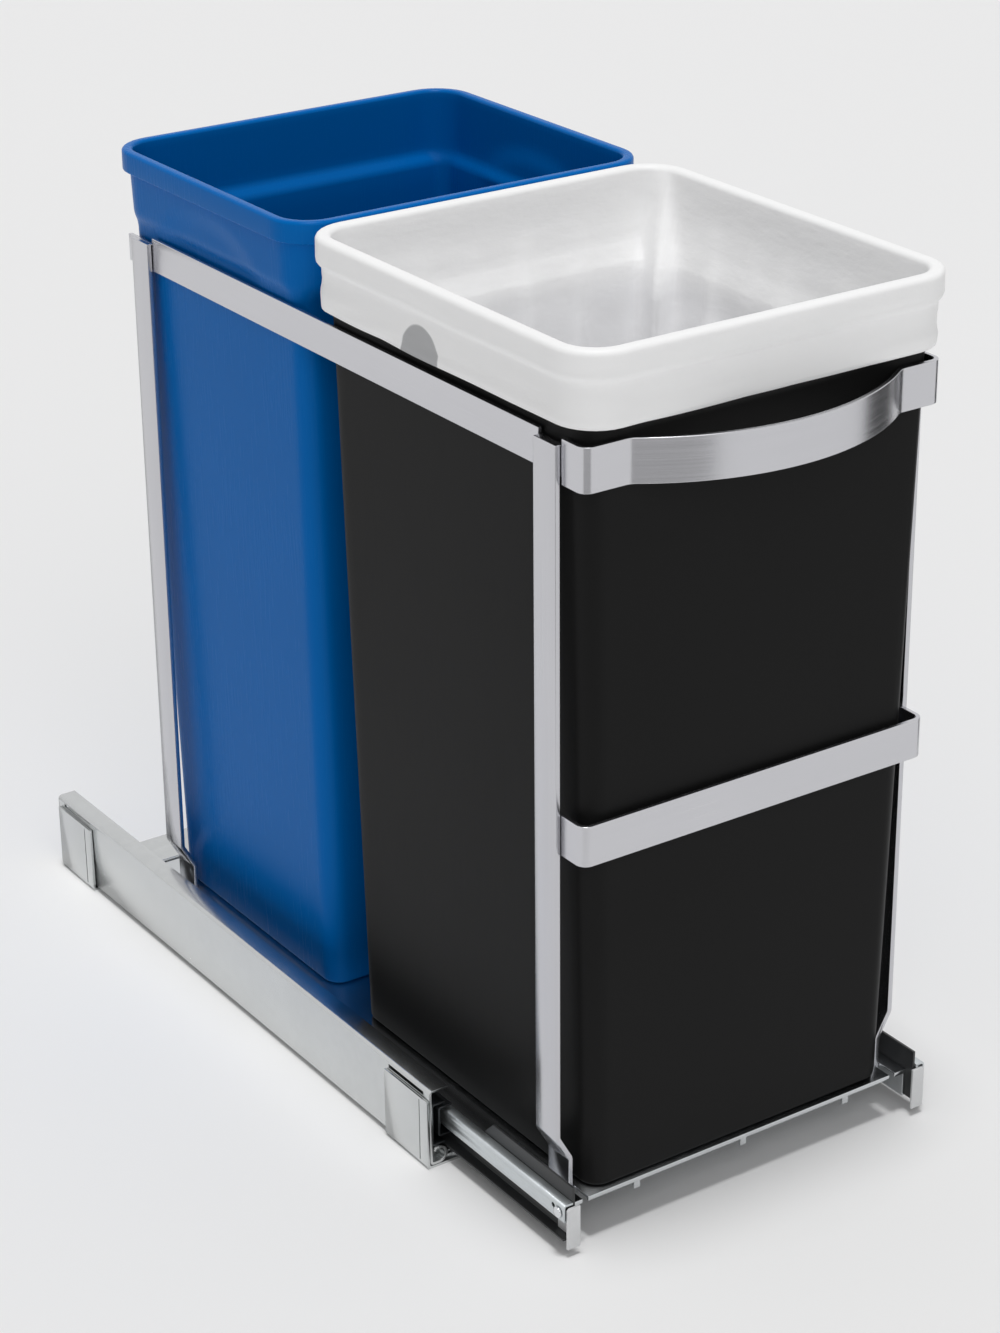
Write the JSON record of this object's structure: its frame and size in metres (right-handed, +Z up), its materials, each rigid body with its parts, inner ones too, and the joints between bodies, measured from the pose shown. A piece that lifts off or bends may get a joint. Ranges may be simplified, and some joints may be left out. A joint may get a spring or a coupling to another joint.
{
  "type": "pull out trash cabinet",
  "caption": "Pull-out waste unit for a base cabinet: open steel carriage with bowed handle on telescopic floor slides, carrying a black bin with liner and a blue recycling bin.",
  "frame": {"origin": "on the cabinet floor, under the middle of the whole unit in its drawn, partly pulled out pose", "axes": "+Z up; the handle faces -Y; +X is to the right of a person who stands in front of the unit and faces it"},
  "size_m": [0.2676, 0.559, 0.4841],
  "materials": {
    "zinc": "bright zinc plated sheet steel, satin",
    "slide_steel": "zinc plated rolled slide steel",
    "screw_steel": "bright plated screw",
    "cage_steel": "oiled steel of the ball cages and the hidden slide members",
    "black_steel": "black satin coating",
    "pale_zinc": "pale matte zinc",
    "brushed_band": "fine brushed stainless strip",
    "blue_plastic": "moulded polypropylene, semi gloss",
    "black_plastic": "moulded polypropylene, satin",
    "liner_film": "thin white polyethylene film, soft creases"
  },
  "bodies": {
    "base": {"fixed_rail_right": "zinc", "fixed_rail_left": "zinc", "front_foot_right": "zinc", "front_foot_left": "zinc", "rear_foot_right": "zinc", "rear_foot_left": "zinc", "front_cross_tie": "zinc", "rear_cross_tie": "zinc", "slide_outer_right": "cage_steel", "slide_outer_left": "cage_steel"},
    "middle_slide_right": {"slide_middle_right": "cage_steel"},
    "middle_slide_left": {"slide_middle_left": "cage_steel"},
    "outer_cage_right": {"outer_ball_cage_right": "cage_steel"},
    "outer_cage_left": {"outer_ball_cage_left": "cage_steel"},
    "inner_cage_right": {"inner_ball_cage_right": "cage_steel"},
    "inner_cage_left": {"inner_ball_cage_left": "cage_steel"},
    "carriage": {"tray": "zinc", "slide_inner_right": "slide_steel", "slide_inner_left": "slide_steel", "front_post_right": "brushed_band", "front_post_left": "brushed_band", "rear_post_right": "brushed_band", "rear_post_left": "brushed_band", "side_strap_right": "brushed_band", "side_strap_left": "brushed_band", "handle_band": "brushed_band", "middle_band": "brushed_band", "side_channel_right": "black_steel", "side_channel_left": "black_steel", "end_plate_right": "pale_zinc", "end_plate_left": "pale_zinc", "front_screw_right": "screw_steel", "front_screw_left": "screw_steel"},
    "rear_bin": {"rear_bucket": "blue_plastic"},
    "front_bin": {"front_bucket": "black_plastic", "liner_bag": "liner_film"}
  },
  "joints": [
    {"name": "pull_out", "type": "slide", "parent": "base", "child": "carriage", "axis": [0, -1, 0], "range_m": [-0.105, 0.29]},
    {"name": "middle_slide_travel_right", "type": "slide", "parent": "base", "child": "middle_slide_right", "axis": [0, -1, 0], "range_m": [-0.0525, 0.145]},
    {"name": "outer_cage_travel_right", "type": "slide", "parent": "base", "child": "outer_cage_right", "axis": [0, -1, 0], "range_m": [-0.02625, 0.0725]},
    {"name": "inner_cage_travel_right", "type": "slide", "parent": "base", "child": "inner_cage_right", "axis": [0, -1, 0], "range_m": [-0.07875, 0.2175]},
    {"name": "middle_slide_travel_left", "type": "slide", "parent": "base", "child": "middle_slide_left", "axis": [0, -1, 0], "range_m": [-0.0525, 0.145]},
    {"name": "outer_cage_travel_left", "type": "slide", "parent": "base", "child": "outer_cage_left", "axis": [0, -1, 0], "range_m": [-0.02625, 0.0725]},
    {"name": "inner_cage_travel_left", "type": "slide", "parent": "base", "child": "inner_cage_left", "axis": [0, -1, 0], "range_m": [-0.07875, 0.2175]},
    {"name": "rear_bin_lift", "type": "slide", "parent": "carriage", "child": "rear_bin", "axis": [0, 0, 1], "range_m": [0, 0.45]},
    {"name": "front_bin_lift", "type": "slide", "parent": "carriage", "child": "front_bin", "axis": [0, 0, 1], "range_m": [0, 0.45]}
  ],
  "couplings": [
    {"joint": "middle_slide_travel_right", "follows": "pull_out", "ratio": 0.5},
    {"joint": "outer_cage_travel_right", "follows": "pull_out", "ratio": 0.25},
    {"joint": "inner_cage_travel_right", "follows": "pull_out", "ratio": 0.75},
    {"joint": "middle_slide_travel_left", "follows": "pull_out", "ratio": 0.5},
    {"joint": "outer_cage_travel_left", "follows": "pull_out", "ratio": 0.25},
    {"joint": "inner_cage_travel_left", "follows": "pull_out", "ratio": 0.75}
  ]
}
